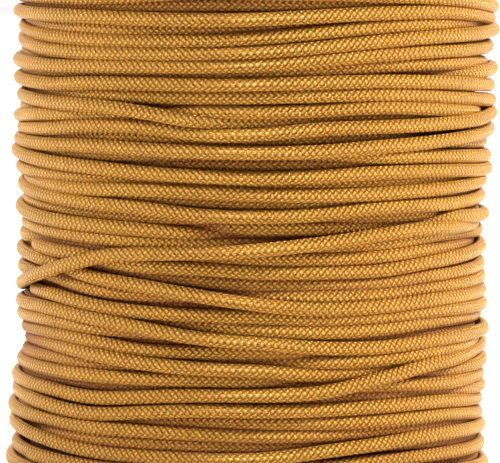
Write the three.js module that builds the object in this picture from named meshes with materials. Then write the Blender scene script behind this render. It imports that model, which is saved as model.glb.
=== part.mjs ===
// A wound package of braided nylon cord: one length of gold cord laid turn on turn round a straight bore.
// Millimetres, +Z up. The origin is the centre of the flat lower end, and the best side faces -Y.
import * as THREE from "three";

// Driving dimensions
const CORD = 2; // diameter of the cord
const HEIGHT = 69; // length of the wound body, from end to end
const BORE_RADIUS = 12.5; // radius of the open middle
const GROOVE = 0.8; // depth of the gap between two neighbouring turns
const UNEVEN = 0.45; // how far a turn sinks between its neighbours at most
const END_GROOVE = 0.5; // depth of the gaps between the rings of the upper end
const FADE = 9; // distance from an end over which the turns become level

// Steps of the mesh
const COLUMNS = 36; // round the axis
const ROWS_A_TURN = 3; // a groove and the two edges of a round crest
const TURNS = Math.round(HEIGHT / CORD); // visible turns, one above the other
const END_RINGS = 10; // layers of cord between the bore and the outside

// Radius over the outermost turns, from the lower end to the upper one: the body is a little waisted.
const PROFILE = [
  { height: 0, radius: 33.1 },
  { height: 3, radius: 32.8 },
  { height: 16, radius: 32.3 },
  { height: 30, radius: 32.0 },
  { height: 37, radius: 31.8 },
  { height: 44, radius: 32.7 },
  { height: 57, radius: 32.9 },
  { height: HEIGHT, radius: 33.1 },
];

// How far the turns at a height wander up or down as they go round.
const WANDER = [
  { height: 4, left: 0.0, leftFront: -0.6, front: 0.0, rightFront: 0.9, right: 0.4, back: -0.5 },
  { height: 13, left: -1.5, leftFront: -1.6, front: 0.2, rightFront: 1.6, right: 1.6, back: 0.0 },
  { height: 19, left: 0.0, leftFront: 0.2, front: -0.2, rightFront: -0.1, right: -0.6, back: 0.4 },
  { height: 27, left: 2.0, leftFront: 0.9, front: -0.6, rightFront: -1.0, right: -1.4, back: 0.3 },
  { height: 37, left: 0.5, leftFront: 0.2, front: -0.3, rightFront: 0.3, right: 0.0, back: -0.6 },
  { height: 50, left: -0.8, leftFront: 0.4, front: 0.3, rightFront: 0.3, right: -0.6, back: 0.6 },
  { height: 59, left: -0.4, leftFront: -1.0, front: -0.2, rightFront: 1.3, right: 1.2, back: -0.3 },
];

// The main turns that cross the others on top of them: their height as they go round, and how far they
// stand proud of the profile. The last two do so on the far side.
const CROSSING = [
  { left: 24.7, leftFront: 30.5, front: 33.0, rightFront: 35.3, right: 34.2, back: 29.0, proud: 0.7 },
  { left: 12.7, leftFront: 11.9, front: 13.7, rightFront: 17.0, right: 17.6, back: 15.0, proud: 0.5 },
  { left: 30.3, leftFront: 28.1, front: 25.8, rightFront: 25.3, right: 24.8, back: 27.5, proud: 0.3 },
  { left: 51.4, leftFront: 50.8, front: 49.2, rightFront: 48.1, right: 48.2, back: 50.0, proud: 0.2 },
  { left: 6.6, leftFront: 4.8, front: 5.3, rightFront: 7.3, right: 6.2, back: 6.4, proud: 0.3 },
  { left: 58.7, leftFront: 57.8, front: 58.7, rightFront: 60.7, right: 61.2, back: 60.0, proud: 0.2 },
  { left: 38.8, leftFront: 38.0, front: 37.2, rightFront: 38.4, right: 38.6, back: 43.5, proud: 0.3 },
  { left: 45.0, leftFront: 45.6, front: 45.6, rightFront: 46.5, right: 47.0, back: 53.5, proud: 0.3 },
];

// The named places round the body, in degrees from the front (-Y) towards +X.
const PLACES = [
  { name: "back", angle: -180 },
  { name: "left", angle: -87 },
  { name: "leftFront", angle: -43 },
  { name: "front", angle: 0 },
  { name: "rightFront", angle: 48 },
  { name: "right", angle: 87 },
  { name: "back", angle: 180 },
];

// A smooth step between two values, level at both.
function ease(from, to, share) {
  return from + (to - from) * (0.5 - 0.5 * Math.cos(Math.PI * THREE.MathUtils.clamp(share, 0, 1)));
}

// The value of a table of rows at a place between two of them.
function between(rows, place, placeOf, valueOf) {
  const last = rows.length - 1;
  if (place <= placeOf(rows[0])) return valueOf(rows[0]);
  if (place >= placeOf(rows[last])) return valueOf(rows[last]);
  const upper = rows.findIndex((row) => placeOf(row) > place);
  const low = rows[upper - 1];
  const high = rows[upper];
  const share = (place - placeOf(low)) / (placeOf(high) - placeOf(low));
  return ease(valueOf(low), valueOf(high), share);
}

// A row's value at an angle, from its named places.
function roundValue(row, angle) {
  return between(PLACES, angle, (place) => place.angle, (place) => row[place.name]);
}

function profileRadius(height) {
  return between(PROFILE, height, (row) => row.height, (row) => row.radius);
}

// 0 at both ends of the body, 1 away from them.
function awayFromEnds(height) {
  return Math.min(1, height / FADE, (HEIGHT - height) / FADE);
}

function wander(height, angle) {
  const shift = between(WANDER, height, (row) => row.height, (row) => roundValue(row, angle));
  return shift * awayFromEnds(height);
}

// How far one turn lies below the profile: each sinks and rises as its neighbours let it.
function sink(turn, angle) {
  const phase = 2.4 * turn;
  const swing = Math.sin(phase + 1.5 * Math.sin(THREE.MathUtils.degToRad(angle) + phase));
  return UNEVEN * (0.5 + 0.5 * swing);
}

// Radius of the round back of a crossing turn at a height, or zero beside it.
function crossingRadius(row, height, angle) {
  const offset = Math.abs(height - roundValue(row, angle)) / (CORD / 2);
  if (offset >= 1) return 0;
  const roundBack = (CORD / 2) * (1 - Math.sqrt(1 - offset ** 2));
  return profileRadius(height) + row.proud - roundBack;
}

// The outer wall at one angle, from the lower end up: grooves and crests, with the crossing turns on top.
function outerWall(angle) {
  const points = [];
  for (let row = 0; row <= TURNS * ROWS_A_TURN; row++) {
    const level = (row / ROWS_A_TURN) * (HEIGHT / TURNS);
    const height = level + wander(level, angle);
    const turn = Math.min(Math.floor(row / ROWS_A_TURN), TURNS - 1);
    const groove = row % ROWS_A_TURN === 0 ? GROOVE : 0;
    const turnRadius = profileRadius(height) - sink(turn, angle) - groove;
    const crossings = CROSSING.map((crossing) => crossingRadius(crossing, height, angle));
    points.push([Math.max(turnRadius, ...crossings), height]);
  }
  return points;
}

// The upper end at one angle, from the outside in: the rings of the layers.
function upperEnd(outerRadius) {
  const points = [];
  const layer = (outerRadius - BORE_RADIUS) / END_RINGS;
  for (let ring = 0; ring < END_RINGS; ring++) {
    const crest = outerRadius - (ring + 0.5) * layer;
    const groove = outerRadius - (ring + 1) * layer;
    points.push([crest, HEIGHT]);
    points.push([groove, HEIGHT - END_GROOVE]);
  }
  return points;
}

// One closed section of the body, in radius and height.
function section(angle) {
  const outer = outerWall(angle);
  outer[outer.length - 1][1] = HEIGHT - END_GROOVE;
  const upper = upperEnd(outer[outer.length - 1][0]);
  return [...outer, ...upper, [BORE_RADIUS, 0]];
}

// The closed ring through the sections at every column.
function ringGeometry() {
  const angles = Array.from({ length: COLUMNS }, (_, column) => (column / COLUMNS) * 360 - 180);
  const sections = angles.map(section);
  const steps = sections[0].length;
  const positions = [];
  const faces = [];
  sections.forEach((points, column) => {
    const turned = THREE.MathUtils.degToRad(angles[column]);
    const nextColumn = (column + 1) % COLUMNS;
    points.forEach(([radius, height], step) => {
      const nextStep = (step + 1) % steps;
      const here = column * steps + step;
      const above = column * steps + nextStep;
      const beside = nextColumn * steps + step;
      const aboveBeside = nextColumn * steps + nextStep;
      positions.push(radius * Math.sin(turned), -radius * Math.cos(turned), height);
      faces.push(here, beside, aboveBeside, here, aboveBeside, above);
    });
  });
  const geometry = new THREE.BufferGeometry();
  geometry.setAttribute("position", new THREE.Float32BufferAttribute(positions, 3));
  geometry.setIndex(faces);
  geometry.computeVertexNormals();
  return geometry;
}

const goldNylon = new THREE.MeshStandardMaterial({ color: 0xb8893f, roughness: 0.45, metalness: 0 });

const winding = new THREE.Mesh(ringGeometry(), goldNylon);
winding.name = "cord_winding";

const woundCord = new THREE.Group();
woundCord.add(winding);

export default woundCord;
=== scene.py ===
# %% [markdown]
# # A wound package of braided nylon cord
#
# The object is one long gold cord, braided from twelve bundles of nylon yarn, six wound each way, and
# laid turn on turn into a thick ring. Nothing else holds it: its shape is the way the turns lie on each
# other. So this lesson doesn't model a cylinder with grooves. It lays the cord down, turn by turn, the
# way a winder does, and then wraps a braid round the path with Geometry Nodes.
#
# The first cell loads the solid model of the package. Its node is the frame that every piece has to fit.

# %% Load the frame
import math

import bpy
import numpy as np
from mathutils import Matrix, Vector


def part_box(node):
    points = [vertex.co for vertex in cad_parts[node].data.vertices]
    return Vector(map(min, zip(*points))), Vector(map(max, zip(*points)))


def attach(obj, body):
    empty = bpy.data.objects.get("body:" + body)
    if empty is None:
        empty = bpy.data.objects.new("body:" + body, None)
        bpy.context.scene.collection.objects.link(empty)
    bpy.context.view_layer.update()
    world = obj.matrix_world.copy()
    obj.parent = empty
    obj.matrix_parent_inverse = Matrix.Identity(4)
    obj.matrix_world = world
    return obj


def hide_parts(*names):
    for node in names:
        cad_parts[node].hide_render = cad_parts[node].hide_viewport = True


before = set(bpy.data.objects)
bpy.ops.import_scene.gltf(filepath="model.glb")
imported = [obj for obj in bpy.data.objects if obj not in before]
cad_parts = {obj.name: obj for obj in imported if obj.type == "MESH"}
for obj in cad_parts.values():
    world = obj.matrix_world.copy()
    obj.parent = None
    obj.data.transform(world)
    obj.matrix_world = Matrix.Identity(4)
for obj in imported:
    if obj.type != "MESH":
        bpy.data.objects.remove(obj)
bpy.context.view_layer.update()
winding_low, winding_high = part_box("cord_winding")
print("the solid package measures", [round(side, 4) for side in winding_high - winding_low], "m")

# %% [markdown]
# ## Sizes
#
# Cord is thin, so the winding is worked out in millimetres and angles round the axis, and turned into
# metres only when a mesh is made. The driving size is the diameter of the cord as it lies here, pulled
# tight. The height comes from the frame, and the cord's middle stays half a diameter inside both ends.

# %% Sizes of the cord and the package
MM = 0.001
CORD = 1.78
CORD_RADIUS = CORD / 2
HEIGHT = (winding_high.z - winding_low.z) / MM
BORE_RADIUS = 12.5
LOWEST_CENTRE = CORD_RADIUS
HIGHEST_CENTRE = HEIGHT - CORD_RADIUS
SEED = 7
rng = np.random.default_rng(SEED)
print("cord centres run from", LOWEST_CENTRE, "to", round(HIGHEST_CENTRE, 2), "mm")

# %% [markdown]
# ## The camera
#
# The camera comes before the cord, because the visible turns are placed by looking through it. It stands
# 0.55 m in front of the package and a little above its upper end, so the rings sag more and more towards
# the bottom of the picture. It is rolled by one degree. A long lens keeps the picture tight on the
# winding.

# %% Camera
PICTURE_COLUMNS = 500
PICTURE_ROWS = 463
FOCAL_PIXELS = 4009.0
SENSOR_WIDTH = 36.0
CAMERA_PLACE = np.array([0.0, -553.0, 86.0])
AIM = np.array([-0.21, 0.0, 32.4])
ROLL = math.radians(1.0)

view_line = AIM - CAMERA_PLACE
view_line = view_line / np.linalg.norm(view_line)
level_right = np.cross(view_line, [0.0, 0.0, 1.0])
level_right = level_right / np.linalg.norm(level_right)
level_up = np.cross(level_right, view_line)
picture_right = level_right * math.cos(ROLL) + level_up * math.sin(ROLL)
picture_up = level_up * math.cos(ROLL) - level_right * math.sin(ROLL)

camera_data = bpy.data.cameras.new("photo_camera")
camera_data.sensor_width = SENSOR_WIDTH
camera_data.lens = FOCAL_PIXELS / PICTURE_COLUMNS * SENSOR_WIDTH
camera = bpy.data.objects.new("photo_camera", camera_data)
bpy.context.scene.collection.objects.link(camera)
turn_camera = Matrix((picture_right, picture_up, -view_line)).transposed().to_4x4()
camera.matrix_world = Matrix.Translation(Vector(CAMERA_PLACE * MM)) @ turn_camera
bpy.context.scene.camera = camera
print("lens", round(camera_data.lens, 1), "mm")

# %% [markdown]
# ## Where each visible turn runs
#
# On the real package more than fifty turns show, and no rule gives their places: each was laid by hand or
# by a worn guide. So they are read from the picture, one row of this table for each turn, from the
# top down. The last ten numbers are the picture rows of the cord's middle at ten named columns, counted
# from the top. The first four say how deep it lies under the outermost line, in tenths of a millimetre,
# at the left edge of the view, on the left, on the right and at the right edge: where two turns meet, the
# later one lies less deep. A row above or below the picture is a turn that the picture cuts off.

# %% The table of turns
PICTURE_STATIONS = {
    "left edge": 5,
    "far left": 50,
    "left": 90,
    "middle left": 140,
    "near left": 200,
    "near right": 260,
    "middle right": 320,
    "right": 380,
    "far right": 430,
    "right edge": 495,
}
# depth at the left edge, left, right and right edge, then the picture rows at the left edge, far left,
# left, middle left, near left, near right, middle right, right, far right and right edge
TURNS = [
    (8, 8, 8, 8, -30, -30, -30, -30, -30, -30, -30, -30, -30, -30),
    (6, 4, 4, 0, -4, -2, -1, -3, -7, -6, -5, -2.5, -1, 8),
    (12, 10, 10, 12, 4, 7, 8, 8, 6.5, 6.5, 6.5, 6.5, 5, 5),
    (0, 1, 1, 5, 11, 15.5, 17.5, 20, 21, 20.5, 17.5, 14, 13, 20),
    (11, 6, 16, 20, 18, 27, 30, 33, 32.5, 31, 27, 22, 21, 21),
    (11, 4, 6, 18, 25, 36.5, 41.5, 43, 42, 39, 33.5, 28, 25, 24),
    (7, 1, 1, -3, 38, 51, 54, 55, 55.5, 53.5, 49, 42.5, 38, 30),
    (9, 18, 18, 10, 50, 60, 61, 62, 62, 61, 57, 50, 44, 38),
    (1, 3, 3, 6, 59.5, 67, 67, 67, 68, 67, 62, 56, 52.5, 46),
    (14, 17, 8, 6, 70, 75, 75, 76, 76.5, 75.5, 71.5, 67.5, 65.5, 64),
    (14, 20, 20, -1, 74, 80, 79, 78, 79, 79, 78, 77, 77, 68),
    (2, 1, 1, 0, 77, 85, 84, 84.5, 85.5, 85, 84, 82.5, 83, 86),
    (18, 7, 4, 2, 90, 96, 96, 98, 99, 99, 97, 95.5, 97, 102),
    (5, 16, 16, 10, 107, 106.5, 105, 106.5, 109, 107, 104, 101, 105, 108),
    (8, 1, 15, 9, 94.5, 103, 106.5, 112.5, 121, 125, 124, 121, 121, 120),
    (3, 6, 4, 12, 115, 114, 114, 114, 115.5, 114.5, 112.5, 108, 109.5, 113),
    (5, 2, 1, -2, 127.5, 130, 126.5, 127, 136.5, 136, 129.5, 128, 125.5, 113),
    (10, 10, 14, 6, 137, 138, 138, 138.5, 143, 145.5, 141, 140, 143, 142),
    (3, 1, 1, -1, 139, 145.5, 146.5, 150.5, 153, 154, 153, 148.5, 143, 129),
    (10, 13, 6, 3, 146, 153, 157, 158.5, 156, 155, 156, 158.5, 158, 157.5),
    (12, 15, 12, 4, 156, 161, 165, 165.5, 166.5, 167, 166.5, 164.5, 164, 165),
    (-5, 1, 1, 1, 149.5, 162, 168, 174, 178, 180, 178, 174, 172, 170),
    (1, 5, 6, 10, 167, 175.5, 179.5, 182.5, 185, 187.5, 187.5, 185, 182, 172),
    (5, 4, 2, 1, 176.5, 185.5, 190, 190, 193, 196, 197, 195, 190.5, 178),
    (12, 8, 5, 12, 183, 192, 197, 199, 203, 205, 205, 202, 199, 190),
    (4, 0, 1, 3, 182, 195.5, 203.5, 208.5, 217, 218, 216, 208, 205.5, 195.5),
    (4, 9, 11, 6, 196, 208, 215.5, 219.5, 221, 221, 220, 220, 218.5, 210),
    (12, 18, 18, 9, 204, 213.5, 218, 220, 219, 217, 214, 213, 212.5, 205.5),
    (1, 2, 20, 20, 206, 219, 225.5, 230.5, 237, 238, 237, 236, 230, 226),
    (10, 9, 11, 0, 208, 217, 223, 226, 227.5, 229, 229, 226, 221.5, 214),
    (5, 1, 2, 10, 221.5, 231.5, 237.5, 242.5, 245, 247, 249, 246, 237, 229),
    (9, 10, 3, 13, 233, 243, 248.5, 254, 259, 262, 260, 257, 250.5, 239),
    (12, 3, 3, -1, 235, 249.5, 258, 268.5, 269.5, 274, 274, 272, 262.5, 246),
    (12, 10, 6, 0, 240, 254, 264, 276, 283, 289, 288, 286.5, 276.5, 264),
    (2, 0, 1, -2, 247, 262, 277.5, 287, 297, 305, 311, 308, 301.5, 290),
    (1, 8, 6, -1, 266, 276, 291.5, 297, 300, 298, 299.5, 297, 289.5, 276),
    (0, -5, -3, 9, 284, 272.5, 259.5, 254.5, 252.5, 250, 245, 235.5, 228, 226),
    (14, 12, 12, 10, 276, 291, 297, 304, 307.5, 307, 306, 304, 303, 300),
    (16, 2, 1, -1, 285, 294, 306, 313.5, 317.5, 319.5, 322, 318, 311.5, 305),
    (10, 10, 3, 4, 293, 302, 312, 322, 329, 332, 334, 330.5, 322, 314),
    (4, 0, 0, -2, 299.5, 309, 319, 328.5, 339, 344, 349.5, 348.5, 341.5, 329),
    (3, 4, 12, 12, 312.5, 320, 328, 333, 336, 339, 342, 341, 336, 324),
    (14, 12, 16, 18, 316.5, 326, 334, 341.5, 345, 347, 349, 347, 342, 334),
    (13, 2, 10, 12, 326, 333, 341.5, 351.5, 354, 355.5, 356, 352, 347, 340),
    (13, 0, 4, 20, 335, 344, 354.5, 364, 369, 371, 376, 372.5, 361, 346),
    (9, 5, 5, 10, 350, 357.5, 364.5, 367, 366, 364, 363.5, 361, 352, 336),
    (8, 1, 13, -3, 358, 371, 376, 380, 382, 384.5, 385, 382, 376, 359),
    (10, 12, 8, 1, 369, 379.5, 386, 389, 391, 391, 388, 386, 386, 374),
    (1, 0, -3, 4, 374, 389, 398.5, 398, 396, 396.5, 393, 378.5, 363, 343),
    (10, 12, 8, 0, 402, 410, 413, 412, 409, 406, 401, 397, 393, 385),
    (0, 0, 1, 4, 386.5, 404.5, 414.5, 413, 411, 412, 411, 407.5, 402.5, 399),
    (12, 10, 2, 5, 400.5, 413, 421, 423, 423.5, 425.5, 425.5, 423, 417, 414),
    (2, 2, 6, 10, 403.5, 419, 427.5, 431, 435.5, 438, 437, 431, 427, 421),
    (8, 4, 9, 10, 423, 433, 438.5, 443.5, 446.5, 448.5, 449, 447, 444.5, 436),
    (-1, 0, 0, 1, 418.5, 439, 452, 457, 460, 460.5, 452, 444.5, 435.5, 425),
    (0, 2, 2, 1, 441.5, 458.5, 467, 471, 474, 474, 469, 461.5, 456, 443),
    (10, 12, 12, 8, 452, 466, 475, 481, 485, 486, 481, 473, 468, 456),
    (-3, 0, 0, -2, 460, 475, 484, 490, 493, 493, 489, 482, 474, 463),
]
print(len(TURNS), "visible turns, read at", len(PICTURE_STATIONS), "columns")

# %% [markdown]
# ## From the picture to the surface
#
# A line of sight through a picture point meets the round surface of the winding at one angle and height.
# At the two edges of the package it only grazes the surface, so there the nearest point of the line is
# taken. The surface is slightly waisted, as the real one is: the table gives the radius over the
# outermost cords.

# %% Lines of sight
OUTSIDE = [
    {"height": 0.0, "radius": 33.3},
    {"height": 3.0, "radius": 32.8},
    {"height": 12.0, "radius": 32.8},
    {"height": 22.0, "radius": 32.4},
    {"height": 30.0, "radius": 32.4},
    {"height": 37.0, "radius": 32.1},
    {"height": 44.0, "radius": 32.8},
    {"height": 50.0, "radius": 33.1},
    {"height": 69.0, "radius": 33.2},
]


def outside_radius(height):
    heights = [row["height"] for row in OUTSIDE]
    radii = [row["radius"] for row in OUTSIDE]
    return np.interp(height, heights, radii)


def touch(column, row, radius):
    """Angle from the front towards +X, and height, where a line of sight meets a cylinder."""
    across = (column - PICTURE_COLUMNS / 2) / FOCAL_PIXELS
    down = (row - PICTURE_ROWS / 2) / FOCAL_PIXELS
    line = view_line + picture_right * across - picture_up * down
    square = line[0] ** 2 + line[1] ** 2
    product = CAMERA_PLACE[0] * line[0] + CAMERA_PLACE[1] * line[1]
    rest = CAMERA_PLACE[0] ** 2 + CAMERA_PLACE[1] ** 2 - radius**2
    inside_root = max(product**2 - square * rest, 0.0)
    point = CAMERA_PLACE + line * (-product - math.sqrt(inside_root)) / square
    return math.degrees(math.atan2(point[0], -point[1])), point[2]


print("the waist is", min(row["radius"] for row in OUTSIDE), "mm out")

# %% [markdown]
# ## Turns as angles and heights
#
# Now each row of the table becomes ten angles and heights. The radius depends on the height, which isn't
# known yet, so a point starts from a rough height and is worked out a few times over. Held against the
# picture, the middles that were read came out one picture row too low, so that row is taken off.

# %% Read the turns
READ_TOO_LOW = 1.0
ROUGH_HEIGHT = 35.0
REPEATS = 3


def table_heights(turn):
    """The angles and heights of one row of the table."""
    places = []
    for column, row in zip(PICTURE_STATIONS.values(), turn[4:]):
        height = ROUGH_HEIGHT
        for _ in range(REPEATS):
            angle, height = touch(column, row - READ_TOO_LOW, outside_radius(height) - CORD_RADIUS)
        places.append((angle, height))
    angles, heights = np.array(places).T
    return angles, np.clip(heights, LOWEST_CENTRE, HIGHEST_CENTRE)


read_turns = [table_heights(turn) for turn in TURNS]
print("the edges of the view lie at", [round(float(a), 1) for a in read_turns[0][0][[0, -1]]], "degrees")

# %% [markdown]
# ## One cord through all the turns
#
# The picture shows the front half of each turn. Behind, the cord has to run from the right end of one
# turn to the left end of another, and in the end through all of them: it is one cord. A winder lays it in
# passes, down and up again. A turn that comes close to the surface on its left or right half is taken for
# a late one. The early turns are joined from the top down, and the late turns from the bottom up: each
# right end goes on to the left end one place further in the pass. That can leave closed loops, so two
# neighbouring joins are swapped until a single path is left.

# %% Join the turns behind
LATE_DEPTH = 4  # tenths of a millimetre, as in the table
left_heights = np.array([heights[0] for _, heights in read_turns])
right_heights = np.array([heights[-1] for _, heights in read_turns])


def join_pass(members, downwards):
    """The order in which the cord runs through the turns of one pass."""
    sign = -1 if downwards else 1
    by_right = sorted(members, key=lambda turn: sign * right_heights[turn])
    by_left = sorted(members, key=lambda turn: sign * left_heights[turn])
    follows = dict(zip(by_right[:-1], by_left[1:]))

    def path_from_start():
        path = [by_left[0]]
        while path[-1] in follows:
            path.append(follows[path[-1]])
        return path

    path = path_from_start()
    while len(path) < len(members):
        for first, second in zip(by_right[:-2], by_right[1:-1]):
            if (first in path) != (second in path):
                follows[first], follows[second] = follows[second], follows[first]
                break
        path = path_from_start()
    return path


late = [turn for turn, row in enumerate(TURNS) if min(row[1:3]) <= LATE_DEPTH]
early = [turn for turn in range(len(TURNS)) if turn not in late]
order = join_pass(early, downwards=True) + join_pass(late, downwards=False)
print("one cord runs down through", len(early), "turns and up through", len(late))

# %% [markdown]
# ## Smooth heights all round
#
# Each turn is sampled in equal steps of its angle. In front, a curve runs through the heights that were
# read, without overshooting them. All turns together are one long row of numbers, so smoothing it smooths
# the whole cord.

# %% Smooth curves
STEPS = 480
step_angles = np.arange(STEPS) * 360.0 / STEPS - 180.0


def slopes_without_overshoot(x, y):
    """A slope at each point, flat at the peaks, as a monotone cubic needs."""
    rise = np.diff(y) / np.diff(x)
    before, after = rise[:-1], rise[1:]
    same_way = before * after > 0
    inner = np.zeros(len(x) - 2)
    inner[same_way] = 2 * before[same_way] * after[same_way] / (before[same_way] + after[same_way])
    return np.concatenate([[rise[0]], inner, [rise[-1]]])


def cubic(x, x0, x1, y0, y1, slope0, slope1):
    """A cubic between two points with a slope at each."""
    width = x1 - x0
    t = (x - x0) / width
    stay = 2 * t**3 - 3 * t**2 + 1
    leave = t**3 - 2 * t**2 + t
    arrive = t**3 - t**2
    return y0 * stay + y1 * (1 - stay) + width * (slope0 * leave + slope1 * arrive)


def through_points(x, points_x, points_y, slopes):
    part = np.clip(np.searchsorted(points_x, x) - 1, 0, len(points_x) - 2)
    return cubic(x, points_x[part], points_x[part + 1], points_y[part], points_y[part + 1],
                 slopes[part], slopes[part + 1])


def smooth_along(values, sigma_steps):
    """Gaussian smoothing along the whole cord."""
    reach = int(3 * sigma_steps)
    weights = np.exp(-0.5 * (np.arange(-reach, reach + 1) / sigma_steps) ** 2)
    padded = np.pad(values.ravel(), reach, mode="edge")
    return np.convolve(padded, weights / weights.sum(), mode="valid").reshape(values.shape)


print("each turn has", STEPS, "steps of", 360 / STEPS, "degrees")

# %% [markdown]
# ## The far side
#
# Behind, a free curve joins the ends with part of the slopes that the front arrives with. Two slow waves,
# which depend on the height, make neighbouring runs rise and fall together, as the front ones do, and
# each run also wanders a little by itself.

# %% Runs behind
TOGETHER = 1.4
TOGETHER_TURNING = 0.21  # radians for each millimetre of height
TOGETHER_START = 1.0
TOGETHER_SLANTED = 1.0
SLANTED_TURNING = 0.33
BY_ITSELF = 0.5
SLOPE_KEPT = 0.6


def back_run(x, start, end):
    """Heights behind, from the right edge of one turn to the left edge of the next."""
    (x0, y0, slope0), (x1, y1, slope1) = start, end
    t = (x - x0) / (x1 - x0)
    level = (y0 + y1) / 2
    hump = np.sin(math.pi * t)
    shared = TOGETHER * np.sin(level * TOGETHER_TURNING + TOGETHER_START) * hump**2
    shared += TOGETHER_SLANTED * np.sin(level * SLANTED_TURNING) * hump * np.sin(2 * math.pi * t)
    own = rng.uniform(-1, 1) * BY_ITSELF * hump**2
    return cubic(x, x0, x1, y0, y1, slope0 * SLOPE_KEPT, slope1 * SLOPE_KEPT) + shared + own


print("runs behind swing by up to", TOGETHER + TOGETHER_SLANTED + BY_ITSELF, "mm")

# %% [markdown]
# ## The whole cord in one row of numbers
#
# The front and back runs are put together in the order in which the cord was laid. The first and last
# turn get a run behind as well, which ends at the far side.

# %% Heights of the whole cord
HEIGHT_SMOOTHING = 4
ends = {}
for turn, (angles, turn_heights) in enumerate(read_turns):
    turn_slopes = slopes_without_overshoot(angles, turn_heights)
    ends[turn] = {
        "left": (angles[0], turn_heights[0], turn_slopes[0]),
        "right": (angles[-1], turn_heights[-1], turn_slopes[-1]),
        "slopes": turn_slopes,
    }

cord_heights = np.zeros((len(order), STEPS))
for place, turn in enumerate(order):
    angles, turn_heights = read_turns[turn]
    front = (step_angles >= angles[0]) & (step_angles <= angles[-1])
    cord_heights[place, front] = through_points(step_angles[front], angles, turn_heights,
                                                ends[turn]["slopes"])
for place in range(len(order) + 1):
    here = ends[order[max(place - 1, 0)]]["right"]
    there_angle, there_height, there_slope = ends[order[min(place, len(order) - 1)]]["left"]
    behind = step_angles > here[0]
    ahead = step_angles < there_angle
    run_angles = np.concatenate([step_angles[behind], step_angles[ahead] + 360])
    run = back_run(run_angles, here, (there_angle + 360, there_height, there_slope))
    if place > 0:
        cord_heights[place - 1, behind] = run[: behind.sum()]
    if place < len(order):
        cord_heights[place, ahead] = run[behind.sum():]
cord_heights = smooth_along(cord_heights, HEIGHT_SMOOTHING)
cord_heights = np.clip(cord_heights, LOWEST_CENTRE, HIGHEST_CENTRE)
print("heights from", round(cord_heights.min(), 2), "to", round(cord_heights.max(), 2), "mm")

# %% [markdown]
# ## How deep each turn starts
#
# The four depths of the table hold at the edges of the view and on its left and right half, with smooth
# passages between them. Behind, two runs that are joined meet halfway between their depths. Each turn
# also starts a hair less deep than the one before, so that of two equal ones the later lies on top.

# %% Starting depths
TENTH = 0.1
LATER_ON_TOP = 0.002
DEPTH_SMOOTHING = 6
DEPTH_ANGLES = [-180.0, -95.0, -75.0, -45.0, -30.0, 30.0, 45.0, 75.0, 95.0, 180.0]
depth_marks = np.array([TURNS[turn][:4] for turn in order]) * TENTH
behind_depth = np.append((depth_marks[:-1, 3] + depth_marks[1:, 0]) / 2, depth_marks[-1, 3])
ahead_depth = np.insert(behind_depth[:-1], 0, depth_marks[0, 0])
start_depth = np.zeros_like(cord_heights)
for place, (left_edge, left, right, right_edge) in enumerate(depth_marks):
    marks = [ahead_depth[place], left_edge, left_edge, left, left, right, right, right_edge, right_edge,
             behind_depth[place]]
    start_depth[place] = np.interp(step_angles, DEPTH_ANGLES, marks)
start_depth -= np.arange(len(order))[:, None] * LATER_ON_TOP
depth = smooth_along(start_depth, DEPTH_SMOOTHING)
print("turns start", round(float(depth.mean()), 2), "mm deep on average")

# %% [markdown]
# ## Lay the turns on each other
#
# Two cords can't be in one place. So the turns settle from where they start: at every angle the winding
# is cut across, and any two round sections that overlap are pushed apart, a little at a time. A weak pull
# keeps each turn near the height that was read and near its depth. After each round every cord is
# smoothed along its length, because a tight cord has no kinks. What overlap is left stands for cord that
# is pressed flat.

# %% Settle the turns
SQUEEZED = 0.97 * CORD
DEEPEST = 2.6
PROUDEST = -0.7
ROUNDS = 60
PUSH = 0.30
HOLD_HEIGHT = 0.30
HOLD_DEPTH = 0.10
SETTLING_SMOOTHING = 3
TINY = 1e-6
start_heights = cord_heights.copy()


def pushes(heights, depth):
    """How far each section is pushed in height and in depth by the sections that overlap it."""
    push_height = np.zeros_like(heights)
    push_depth = np.zeros_like(depth)
    for other in range(len(heights)):
        rise = heights - heights[other]
        near = np.abs(rise) < SQUEEZED
        near[other] = False
        sink = depth - depth[other]
        distance = np.hypot(rise, sink) + TINY
        overlap = np.where(near, np.maximum(SQUEEZED - distance, 0.0), 0.0) / distance
        push_height += overlap * rise
        push_depth += overlap * sink
    return push_height, push_depth


for _ in range(ROUNDS):
    push_height, push_depth = pushes(cord_heights, depth)
    cord_heights = cord_heights + PUSH * push_height + HOLD_HEIGHT * (start_heights - cord_heights)
    depth = depth + PUSH * push_depth + HOLD_DEPTH * (start_depth - depth)
    cord_heights = smooth_along(cord_heights, SETTLING_SMOOTHING)
    cord_heights = np.clip(cord_heights, LOWEST_CENTRE, HIGHEST_CENTRE)
    depth = np.clip(smooth_along(depth, SETTLING_SMOOTHING), PROUDEST, DEEPEST)
cord_radius = outside_radius(cord_heights) - CORD_RADIUS - depth
moved = np.abs(cord_heights - start_heights)
print("turns settled between", round(float(depth.min()), 2), "and", round(float(depth.max()), 2),
      "mm deep")
print("and moved", round(float(moved.mean()), 2), "mm up or down, at most", round(float(moved.max()), 2))

# %% [markdown]
# ## The rims
#
# The outermost turn at each end makes a rim, and the flat rings of the end are fitted inside it later. So
# its inner line is kept now, at every angle, before the ends of the cord are moved.

# %% The rims
RIM_SMOOTHING = 8


def rim_line(level):
    """Radius of the innermost outer turn at one end of the package, at every sampled angle."""
    plain = float(outside_radius(level)) - CORD_RADIUS
    at_end = np.abs(cord_heights - level) < CORD_RADIUS
    innermost = np.where(at_end, cord_radius, plain).min(axis=0)
    return smooth_along(np.tile(innermost, (3, 1)), RIM_SMOOTHING)[1]


upper_rim = rim_line(HIGHEST_CENTRE)
lower_rim = rim_line(LOWEST_CENTRE)
print("the upper rim lies between", round(upper_rim.min(), 2), "and", round(upper_rim.max(), 2), "mm out")

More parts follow.
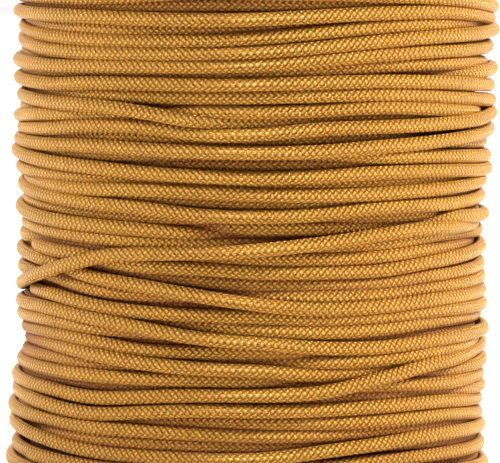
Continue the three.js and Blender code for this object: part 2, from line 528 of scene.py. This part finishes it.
# %% [markdown]
# ## The two cord ends
#
# No end shows in the picture, so both are tucked away at the back, where a winder hides them. Each dives
# inwards and away from its rim, under the rings, in a smooth half wave.

# %% Tuck the cord ends
TUCK_STEPS = 40
TUCK_DEPTH = 3.0
TUCK_DROP = 2.0
tuck = 0.5 + 0.5 * np.cos(np.linspace(0, math.pi, TUCK_STEPS))
cord_ends = [(0, slice(None, TUCK_STEPS), tuck), (-1, slice(-TUCK_STEPS, None), tuck[::-1])]
for turn, steps, share in cord_ends:
    towards_middle = np.sign(HEIGHT / 2 - cord_heights[turn, steps])
    cord_radius[turn, steps] -= TUCK_DEPTH * share
    cord_heights[turn, steps] += TUCK_DROP * share * towards_middle
print("each end dives", TUCK_DEPTH, "mm inwards within", TUCK_STEPS * 360 / STEPS, "degrees")

# %% [markdown]
# ## Points along the cord
#
# The mesh needs its rings of points evenly along the cord, so the laid path is cut into equal lengths.
# Each point also gets a twist, since a cord turns slowly about itself as it comes off its coil. It is
# counted in pairs of the braid's rows, and a stitch is the length from one pad of a row to the next.

# %% Equal steps along the path
STITCH = 0.49 * CORD
OUTER_STEP = 0.65
MOST_TWIST = 1.5
TWIST_LENGTH = 80.0


def round_axis(angles_deg, radius, height):
    """Points at angles from the front, in millimetres."""
    turned = np.radians(angles_deg)
    return np.stack([radius * np.sin(turned), -radius * np.cos(turned), height], axis=-1)


def equal_steps(points, step):
    """The same path with its points a fixed length apart."""
    lengths = np.concatenate([[0.0], np.cumsum(np.linalg.norm(np.diff(points, axis=0), axis=1))])
    count = int(lengths[-1] / step)
    marks = np.arange(count + 1) * step
    return np.stack([np.interp(marks, lengths, points[:, axis]) for axis in range(3)], axis=1)


def slow_twist(count, step):
    """A twist that wanders between its limits, from random marks a fixed length of cord apart."""
    where = np.arange(count) * step / TWIST_LENGTH
    marks = rng.uniform(-MOST_TWIST, MOST_TWIST, int(where[-1]) + 2)
    part = where.astype(int)
    share = where - part
    share = share * share * (3 - 2 * share)
    return marks[part] * (1 - share) + marks[part + 1] * share


laid_points = round_axis(np.tile(step_angles, len(order)), cord_radius.ravel(), cord_heights.ravel())
outer_path = equal_steps(laid_points, OUTER_STEP)
outer_twist = slow_twist(len(outer_path), OUTER_STEP)
print("the outer turns hold", round(len(outer_path) * OUTER_STEP * MM, 2), "m of cord")

# %% [markdown]
# ## Sockets that read like sums
#
# Both the braid's shape and its colour are sums over node sockets. This small class wraps one socket, so
# that an expression in Python adds the Math nodes it needs. Any other node comes from one method, which
# sets the node's settings first and its sockets after.

# %% A wrapper for sockets
class Value:
    """An output socket of a node tree that can be used in sums."""

    def __init__(self, nodes, socket):
        self.nodes = nodes
        self.socket = socket

    def out(self, name):
        return Value(self.nodes, self.socket.node.outputs[name])

    def __add__(self, other):
        return self.nodes.math("ADD", self, other)

    def __sub__(self, other):
        return self.nodes.math("SUBTRACT", self, other)

    def __rsub__(self, other):
        return self.nodes.math("SUBTRACT", other, self)

    def __mul__(self, other):
        return self.nodes.math("MULTIPLY", self, other)

    def __truediv__(self, other):
        return self.nodes.math("DIVIDE", self, other)

    def __mod__(self, other):
        return self.nodes.math("FLOORED_MODULO", self, other)

    def __pow__(self, other):
        return self.nodes.math("POWER", self, other)

    __radd__ = __add__


class Nodes:
    """Adds nodes to a tree."""

    def __init__(self, tree):
        self.tree = tree

    def add(self, kind, settings=None, sockets=None, out=0):
        node = self.tree.nodes.new(kind)
        for name, value in (settings or {}).items():
            if name == "stops":
                self.set_stops(node, value)
            else:
                setattr(node, name, value)
        for name, value in (sockets or {}).items():
            self.feed(node.inputs[name], value)
        return Value(self, node.outputs[out]) if node.outputs else None

    def set_stops(self, node, stops):
        ramp = node.color_ramp
        while len(ramp.elements) < len(stops):
            ramp.elements.new(0.5)
        for element, (position, colour) in zip(ramp.elements, stops):
            element.position = position
            element.color = (*colour, 1.0)

    def feed(self, socket, value):
        if isinstance(value, Value):
            self.tree.links.new(value.socket, socket)
        else:
            socket.default_value = value

    def math(self, operation, *values):
        return self.add("ShaderNodeMath", {"operation": operation}, dict(enumerate(values)))

    def floor(self, value):
        return self.math("FLOOR", value)

    def cosine(self, value):
        return self.math("COSINE", value)

    def absolute(self, value):
        return self.math("ABSOLUTE", value)


# %% [markdown]
# ## The braid as Geometry Nodes
#
# The cord's cover is plaited: each bundle of yarn goes over one and under one. Where it comes over it
# shows as a small pad. The pads lie in twelve rows round the cord, every second row shifted by half a
# stitch, and neighbouring rows belong to bundles that wind opposite ways. Modelling each bundle would
# take millions of faces. So the tree only sweeps a round section along the path, and the material draws
# the pads. For that, every corner gets its place in the braid, counted in stitches along the cord and
# pairs of rows round it. The side that faces away is never seen, so one wide face closes it. Except in the
# rings of the ends, the section is a little wider than deep, because the cord is pressed on to the layer
# below.

# %% The braid's node tree
ROW_PAIRS = 6
POINTS_ROUND = 16
SEEN_POINTS = 11
FLATTENED = 1.05
OUTWARD, UPWARD, INWARD, DOWNWARD = 0.0, -math.pi / 2, math.pi, math.pi / 2


def new_tree_input(tree, name, kind, value=None):
    item = tree.interface.new_socket(name=name, in_out="INPUT", socket_type=kind)
    if value is not None:
        item.default_value = value
    return item.identifier


def braid_tree():
    """The node group that turns a line of points into braided cord, and its inputs by name."""
    tree = bpy.data.node_groups.new("braided_cord", "GeometryNodeTree")
    inputs = {"Geometry": new_tree_input(tree, "Geometry", "NodeSocketGeometry")}
    for name, value in {
        "Cord radius": CORD_RADIUS * MM,
        "Facing": OUTWARD,
        "Width": FLATTENED,
    }.items():
        inputs[name] = new_tree_input(tree, name, "NodeSocketFloat", value)
    inputs["Points seen"] = new_tree_input(tree, "Points seen", "NodeSocketInt", SEEN_POINTS)
    inputs["Material"] = new_tree_input(tree, "Material", "NodeSocketMaterial")
    tree.interface.new_socket(name="Geometry", in_out="OUTPUT", socket_type="NodeSocketGeometry")

    nodes = Nodes(tree)
    given = nodes.add("NodeGroupInput")
    radius = given.out("Cord radius")
    points_seen = given.out("Points seen")

    def store(geometry, name, kind, value, domain="POINT"):
        settings = {"data_type": kind, "domain": domain}
        return nodes.add("GeometryNodeStoreNamedAttribute", settings,
                         {"Geometry": geometry, "Name": name, "Value": value})

    def stored(name, kind):
        return nodes.add("GeometryNodeInputNamedAttribute", {"data_type": kind}, {"Name": name})

    line = nodes.add("GeometryNodeMeshToCurve", None, {"Mesh": given})
    line = nodes.add("GeometryNodeSetCurveNormal", {"mode": "Z_UP"}, {"Curve": line})

    sweep = (points_seen - 1) * (2 * math.pi / POINTS_ROUND)
    section = nodes.add("GeometryNodeCurveArc", {"mode": "RADIUS"}, {
        "Resolution": points_seen,
        "Radius": radius,
        "Start Angle": given.out("Facing") - sweep / 2,
        "Sweep Angle": sweep,
    })
    section = nodes.add("GeometryNodeSetSplineCyclic", None, {"Geometry": section, "Cyclic": True})
    wide = nodes.add("ShaderNodeCombineXYZ", None, {"X": 1.0, "Y": given.out("Width"), "Z": 1.0})
    section = nodes.add("GeometryNodeTransform", None, {"Geometry": section, "Scale": wide})
    section = store(section, "round", "FLOAT", nodes.add("GeometryNodeInputIndex"))
    tube = nodes.add("GeometryNodeCurveToMesh", None,
                     {"Curve": line, "Profile Curve": section, "Fill Caps": True})

    around = stored("round", "FLOAT") * (ROW_PAIRS / POINTS_ROUND) + stored("twist", "FLOAT")
    pattern = nodes.add("ShaderNodeCombineXYZ", None, {"X": stored("stitch", "FLOAT"), "Y": around})
    tube = store(tube, "braid", "FLOAT2", pattern, "CORNER")
    for name in ("round", "stitch", "twist"):
        tube = nodes.add("GeometryNodeRemoveAttribute", None, {"Geometry": tube, "Name": name})
    tube = nodes.add("GeometryNodeSetShadeSmooth", None, {"Geometry": tube})
    tube = nodes.add("GeometryNodeRealizeInstances", None, {"Geometry": tube})
    tube = nodes.add("GeometryNodeSetMaterial", None,
                     {"Geometry": tube, "Material": given.out("Material")})
    nodes.add("NodeGroupOutput", None, {"Geometry": tube})
    return tree, inputs


braid, braid_inputs = braid_tree()
print("the braid's tree has", len(braid.nodes), "nodes")

# %% [markdown]
# ## Gold nylon
#
# The yarn is satin nylon dyed a mustard gold. Each pad is a short piece of a bundle of filaments. Its
# colour is the yarn's gold where it stands up and is painted dark brown where it dives under its
# neighbours, as painted shade in the crevices between the pads. The pattern is worked out from the braid's
# own coordinates. Their sum and their difference number the bundles that wind one way and the other, and
# where two bundles cross, they take turns on top like the fields of a chessboard. From these come the
# pad's length and width, the filament lines along it and a small change of tone from one pad to the next.
# A pad is flat along its bundle and round across it, so it catches the light in a short slanted streak.
#
# In the gaps between the turns, light goes from yarn to yarn and comes out redder than a plain shadow. So
# the colour gets painted shade: it turns a dark red-brown with depth under the waisted outside, and
# likewise under the bore and the ends.

# %% The braided nylon material
# The two darker colours are painted shade where a pad dives under its neighbours; the lightest is the
# yarn's own gold.
PAINTED_SHADE_BETWEEN_PADS = (0.30, 0.078, 0.012)
YARN_IN_PAINTED_SHADE = (0.52, 0.208, 0.022)
YARN_LIGHT = (0.78, 0.408, 0.072)
GOLD_SHINE = (1.0, 0.87, 0.42, 1.0)
# A dark red-brown painted shade for the deep gaps, the bore and the ends, and the depths where it starts
# and is full.
PAINTED_GAP_SHADE = (0.34, 0.092, 0.032)
PAINTED_GAP_SHADE_SHARE = 0.90
GAP_DEPTH_FROM = 0.3
GAP_DEPTH_FULL = 1.9
WAIST_RADIUS = 32.2
WAIST_HEIGHT = 37.0
WAIST_SLOPE = 0.032
PAD_FLATNESS = 0.35
PAD_ROUNDNESS = 1.1
PAD_HEIGHT = 0.28
FILAMENT_HEIGHT = 0.06
FILAMENTS_ACROSS = 6
FILAMENTS_ALONG = 1.5
FILAMENT_JUMP = 40
CLOUDS = 90.0
PAINTED_SHADE_OF_PAD = 0.90
TONE_OF_CHANCE = 0.10
TONE_OF_CLOUDS = 0.30
TONE_OF_FILAMENTS = 0.15
SATIN_ROUGHNESS = 0.38
SMOOTHER_ON_PAD = 0.10
ROUGHER_IN_GAP = 0.3
METALLIC = 0.24
SPECULAR_LEVEL = 0.6


def depth_inside(nodes, place):
    """0 on the open surface of the package, 1 in its deepest gaps; it sets the painted gap shade and the
    rougher gaps.
    """
    parts = nodes.add("ShaderNodeSeparateXYZ", None, {"Vector": place})
    level = parts.out("Z")
    radius = (parts * parts + parts.out("Y") * parts.out("Y")) ** 0.5
    outer_radius = WAIST_RADIUS * MM + nodes.absolute(level - WAIST_HEIGHT * MM) * WAIST_SLOPE
    from_side = nodes.math("MINIMUM", outer_radius - radius, radius - BORE_RADIUS * MM)
    from_end = nodes.math("MINIMUM", level, HEIGHT * MM - level)
    return nodes.add("ShaderNodeMapRange", {"interpolation_type": "SMOOTHSTEP"}, {
        "Value": nodes.math("MINIMUM", from_side, from_end),
        "From Min": GAP_DEPTH_FROM * MM,
        "From Max": GAP_DEPTH_FULL * MM,
    })


def pads(nodes):
    """The pad's height and number at a place, and the place's position along and across its bundle."""
    coordinates = nodes.add("ShaderNodeUVMap", {"uv_map": "braid"})
    parts = nodes.add("ShaderNodeSeparateXYZ", None, {"Vector": coordinates})
    along, around = parts, parts.out("Y")
    rising, falling = along + around, along - around
    rising_band, falling_band = nodes.floor(rising), nodes.floor(falling)
    falls = (rising_band + falling_band) % 2
    in_rising, in_falling = rising - rising_band - 0.5, falling - falling_band - 0.5
    lengthwise = in_rising + (in_falling - in_rising) * falls
    crosswise = in_falling + (in_rising - in_falling) * falls
    number = nodes.add("ShaderNodeCombineXYZ", None, {"X": rising_band, "Y": falling_band})

    end = nodes.math("MAXIMUM", nodes.cosine(lengthwise * math.pi), 0.0)
    side = nodes.math("MAXIMUM", nodes.cosine(crosswise * math.pi), 0.0)
    pad = (end ** PAD_FLATNESS) * (side ** PAD_ROUNDNESS)
    return pad, number, lengthwise, crosswise


def braided_nylon(name):
    material = bpy.data.materials.new(name)
    material.use_nodes = True
    material.node_tree.nodes.clear()
    nodes = Nodes(material.node_tree)

    pad, number, lengthwise, crosswise = pads(nodes)
    chance = nodes.add("ShaderNodeTexWhiteNoise", {"noise_dimensions": "2D"}, {"Vector": number})
    place = nodes.add("ShaderNodeTexCoord", None, None, out="Object")
    cloudy = nodes.add("ShaderNodeTexNoise", None, {"Vector": place, "Scale": CLOUDS, "Detail": 2.0})
    filament_place = nodes.add("ShaderNodeCombineXYZ", None, {
        "X": crosswise * FILAMENTS_ACROSS + chance * FILAMENT_JUMP,
        "Y": lengthwise * FILAMENTS_ALONG,
    })
    filaments = nodes.add("ShaderNodeTexNoise", {"noise_dimensions": "2D"},
                          {"Vector": filament_place, "Scale": 1.0, "Detail": 1.0})

    # Painted shade: the pad's height darkens the colour towards its crevices; chance, clouds and filaments
    # add the yarn's own tone.
    shade = pad * PAINTED_SHADE_OF_PAD + (chance - 0.5) * TONE_OF_CHANCE
    shade = shade + (cloudy - 0.5) * TONE_OF_CLOUDS + (filaments - 0.5) * TONE_OF_FILAMENTS
    colours = nodes.add("ShaderNodeValToRGB", {"stops": [
        (0.0, PAINTED_SHADE_BETWEEN_PADS),
        (0.22, YARN_IN_PAINTED_SHADE),
        (0.85, YARN_LIGHT),
    ]}, {"Fac": shade})
    # Painted shade: with depth in the gaps the colour is mixed towards the dark red-brown; the same depth
    # roughens the surface.
    sunk = depth_inside(nodes, place)
    colours = nodes.add("ShaderNodeMix", {"data_type": "RGBA"}, {
        "Factor": sunk * PAINTED_GAP_SHADE_SHARE,
        "A": colours,
        "B": (*PAINTED_GAP_SHADE, 1.0),
    }, out="Result")
    bump = nodes.add("ShaderNodeBump", None, {
        "Height": pad + (filaments - 0.5) * FILAMENT_HEIGHT,
        "Strength": 1.0,
        "Distance": PAD_HEIGHT * MM,
    })
    surface = nodes.add("ShaderNodeBsdfPrincipled", None, {
        "Base Color": colours,
        "Roughness": SATIN_ROUGHNESS - pad * SMOOTHER_ON_PAD + sunk * ROUGHER_IN_GAP,
        "Metallic": METALLIC,
        "Normal": bump,
        "Specular IOR Level": SPECULAR_LEVEL,
        "Specular Tint": GOLD_SHINE,
    })
    nodes.add("ShaderNodeOutputMaterial", None, {"Surface": surface})
    return material


gold_nylon = braided_nylon("gold_braided_nylon")
print("material", gold_nylon.name, "has", len(gold_nylon.node_tree.nodes), "nodes")

# %% [markdown]
# ## Making the pieces
#
# A piece starts as a bare line of points, with the twist and the count of stitches as attributes. The
# tree turns it into cord, the result becomes a plain mesh, and the modifier goes. Every piece stands for
# the solid package and rides with it.

# %% A function for a length of braided cord
def line_mesh(name, points, twist, stitches):
    mesh = bpy.data.meshes.new(name)
    count = len(points)
    edges = np.stack([np.arange(count - 1), np.arange(1, count)], axis=1)
    mesh.from_pydata((points * MM).tolist(), edges.tolist(), [])
    for attribute, values in {"twist": twist, "stitch": stitches}.items():
        data = mesh.attributes.new(attribute, "FLOAT", "POINT").data
        data.foreach_set("value", values.astype(np.float32))
    return mesh


def braided_length(name, points, step, first_point=0, twist=None, **tree_values):
    """One piece of braided cord along a line of points a fixed step apart."""
    if twist is None:
        twist = slow_twist(len(points), step)
    stitches = (first_point + np.arange(len(points))) * (step / STITCH)
    maker = bpy.data.objects.new(name + "_line", line_mesh(name + "_line", points, twist, stitches))
    bpy.context.scene.collection.objects.link(maker)
    modifier = maker.modifiers.new("braid", "NODES")
    modifier.node_group = braid
    modifier[braid_inputs["Material"]] = gold_nylon
    for input_name, value in tree_values.items():
        modifier[braid_inputs[input_name]] = value
    evaluated = maker.evaluated_get(bpy.context.evaluated_depsgraph_get())
    mesh = bpy.data.meshes.new_from_object(evaluated)
    mesh.name = name
    maker.modifiers.remove(modifier)
    bpy.data.objects.remove(maker)
    piece = bpy.data.objects.new(name, mesh)
    bpy.context.scene.collection.objects.link(piece)
    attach(piece, "root")
    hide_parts("cord_winding")
    triangles = sum(len(polygon.vertices) - 2 for polygon in mesh.polygons)
    print(name, "has", triangles, "triangles")


# %% [markdown]
# ## The outer turns
#
# These are the turns of the table. The long run is cut into several pieces that share their end points,
# which keeps each piece light. The stitches are counted on from piece to piece, so the braid goes on
# unbroken.

# %% The outer turns
OUTER_PIECES = 3
cuts = np.linspace(0, len(outer_path) - 1, OUTER_PIECES + 1).astype(int)
for number, (first, last) in enumerate(zip(cuts[:-1], cuts[1:]), start=1):
    part = slice(first, last + 1)
    braided_length(f"outer_turns_{number}", outer_path[part], OUTER_STEP, first, outer_twist[part])

# %% [markdown]
# ## The layer underneath
#
# Between the outer turns dark gaps show the next layer down. It is a plain screw of turns side by side,
# which stops short of both ends to leave room for their rings.

# %% The bed
BED_PITCH = 1.95
BED_DEPTH = 2.6
BED_STEP = 1.8
BED_INSET = 1.2
bed_turns = int((HIGHEST_CENTRE - LOWEST_CENTRE - 2 * BED_INSET) / BED_PITCH)
bed_heights = np.arange(bed_turns * STEPS).reshape(bed_turns, STEPS) / STEPS * BED_PITCH
bed_heights = bed_heights + LOWEST_CENTRE + BED_INSET
bed_radii = outside_radius(bed_heights) - CORD_RADIUS - BED_DEPTH
bed_points = round_axis(np.tile(step_angles, bed_turns), bed_radii.ravel(), bed_heights.ravel())
braided_length("bed_turns", equal_steps(bed_points, BED_STEP), BED_STEP)

# %% [markdown]
# ## The bore
#
# Inside, the first turns were laid on a smooth rod that was drawn out again, so they make an even screw.
# Only the side that faces the axis shows.

# %% The turns round the bore
BORE_PITCH = 1.98
BORE_STEP = 1.2
BORE_ANGLE_STEP = 2.0
bore_turns = (HIGHEST_CENTRE - LOWEST_CENTRE) / BORE_PITCH
bore_angles = np.arange(0.0, bore_turns * 360, BORE_ANGLE_STEP)
bore_points = round_axis(bore_angles, np.full(len(bore_angles), BORE_RADIUS + CORD_RADIUS),
                         LOWEST_CENTRE + bore_angles / 360 * BORE_PITCH)
braided_length("bore_turns", equal_steps(bore_points, BORE_STEP), BORE_STEP, Facing=INWARD)

# %% [markdown]
# ## The two ends
#
# At each end the last turns of all the layers show as rings, one inside the other. Each ring keeps its
# radius almost all the way round and then climbs to the next layer within a short arc. The first climbs
# off the last turn of the bore, and the last one dives under the rim. The rings share the room between
# bore and rim evenly, so they follow wherever the rim wanders.

# %% The rings at the ends
RING_PITCH = 1.8
RING_STEP = 0.8
RING_SWAY = 0.2
SWAYS_A_TURN = 2.02
RING_DIP = 0.25
DIPS_A_TURN = 0.37
DIP_DRIFT = 2.0
DRIFTS_A_TURN = 1.07
CLIMB = 0.2
bore_centre = BORE_RADIUS + CORD_RADIUS
ring_count = round((float(upper_rim.mean()) - bore_centre) / RING_PITCH)


def eased(share):
    share = np.clip(share, 0.0, 1.0)
    return share * share * (3 - 2 * share)


def end_rings(name, level, rim, facing, start_angle, direction):
    """The rings at one end. They start at the last turn of the bore and wind outwards."""
    inwards = np.sign(HEIGHT / 2 - level)
    turns = np.arange(1 - CLIMB, ring_count, 1 / 360)
    rings = np.floor(turns) + eased((turns % 1 - (1 - CLIMB)) / CLIMB)
    angles = start_angle + direction * (turns - turns[0]) * 360
    turned = np.radians(angles)
    share = rings / ring_count
    room = np.interp(angles, step_angles, rim, period=360) - bore_centre
    sway = RING_SWAY * np.sin(math.pi * share) * np.sin(turned * SWAYS_A_TURN)
    drift = DIP_DRIFT * np.sin(turned * DRIFTS_A_TURN)
    dip = RING_DIP * (0.5 + 0.5 * np.sin(turned * DIPS_A_TURN + drift))
    dive = CORD * np.sin(math.pi / 2 * np.clip(rings - (ring_count - 1), 0.0, 1.0))
    points = round_axis(angles, bore_centre + room * share + sway, level + inwards * (dip + dive))
    braided_length(name, equal_steps(points, RING_STEP), RING_STEP, Facing=facing, Width=1.0)


end_rings("upper_end", HIGHEST_CENTRE, upper_rim, UPWARD, bore_angles[-1], 1)
end_rings("lower_end", LOWEST_CENTRE, lower_rim, DOWNWARD, bore_angles[0], -1)
print(ring_count, "layers lie between the bore and the rim")

# %% [markdown]
# ## The floor
#
# The package stands on a plain pale floor, as in a product picture. It is staging and no piece of the
# part, so one large face is enough.

# %% Floor
FLOOR_SIDE = 3.0
FLOOR_GREY = 0.94
FLOOR_ROUGHNESS = 0.8
half = FLOOR_SIDE / 2
floor_mesh = bpy.data.meshes.new("floor")
corners = [(-half, -half, 0), (half, -half, 0), (half, half, 0), (-half, half, 0)]
floor_mesh.from_pydata(corners, [], [(0, 1, 2, 3)])
floor = bpy.data.objects.new("floor", floor_mesh)
bpy.context.scene.collection.objects.link(floor)
pale_floor = bpy.data.materials.new("pale_floor")
pale_floor.use_nodes = True
floor_shader = pale_floor.node_tree.nodes["Principled BSDF"]
floor_shader.inputs["Base Color"].default_value = (FLOOR_GREY, FLOOR_GREY, FLOOR_GREY, 1.0)
floor_shader.inputs["Roughness"].default_value = FLOOR_ROUGHNESS
floor_mesh.materials.append(pale_floor)
print("the floor is", FLOOR_SIDE, "m wide")

# %% [markdown]
# ## The lights
#
# Two soft lights high at the sides, the right one stronger, graze the front, so the pads stand out and the
# middle stays darker than the sides. A broad one behind keeps the floor white. They are round and far
# away, because a small lamp close by would leave hard spots on the satin yarn.

# %% Lights
def soft_light(name, place, size, power, colour=(1.0, 1.0, 1.0)):
    """A round soft light that looks at the middle of the package."""
    data = bpy.data.lights.new(name, "AREA")
    data.shape = "DISK"
    data.size = size
    data.energy = power
    data.color = colour
    light = bpy.data.objects.new(name, data)
    light.location = place
    towards = Vector((0.0, 0.0, HEIGHT / 2 * MM)) - Vector(place)
    light.rotation_euler = towards.to_track_quat("-Z", "Y").to_euler()
    bpy.context.scene.collection.objects.link(light)


soft_light("back_light", place=(0.0, 1.0, 1.2), size=1.2, power=13.0)
soft_light("left_light", place=(-0.70, -0.06, 0.75), size=0.20, power=7.2)
soft_light("right_light", place=(0.70, -0.09, 0.75), size=0.20, power=12.8, colour=(1.0, 0.98, 0.92))
print(len(bpy.data.lights), "lights")

# %% [markdown]
# ## The surround
#
# Light also comes from all round. It is white behind the package, where the picture's background is, and
# weak in front, so that it doesn't fill the gaps between the turns.

# %% The surround
WHITE_BEHIND = 1.0
GREY_IN_FRONT = 0.10
GREY_UP_TO = -0.1  # how far a direction points to the back, from -1 to 1
WHITE_FROM = 0.4
world = bpy.data.worlds.new("white_surround")
world.use_nodes = True
world.node_tree.nodes.clear()
world_nodes = Nodes(world.node_tree)
direction = world_nodes.add("ShaderNodeTexCoord", out="Generated")
towards_back = world_nodes.add("ShaderNodeSeparateXYZ", None, {"Vector": direction}).out("Y")
brightness = world_nodes.add("ShaderNodeMapRange", {"interpolation_type": "SMOOTHSTEP"}, {
    "Value": towards_back,
    "From Min": GREY_UP_TO,
    "From Max": WHITE_FROM,
    "To Min": GREY_IN_FRONT,
    "To Max": WHITE_BEHIND,
})
white = world_nodes.add("ShaderNodeBackground", None,
                        {"Color": (1.0, 1.0, 1.0, 1.0), "Strength": brightness})
world_nodes.add("ShaderNodeOutputWorld", None, {"Surface": white})
print("the surround goes from", GREY_IN_FRONT, "in front to", WHITE_BEHIND, "behind")
bpy.context.scene.world = world
bpy.context.scene.view_settings.view_transform = "Standard"
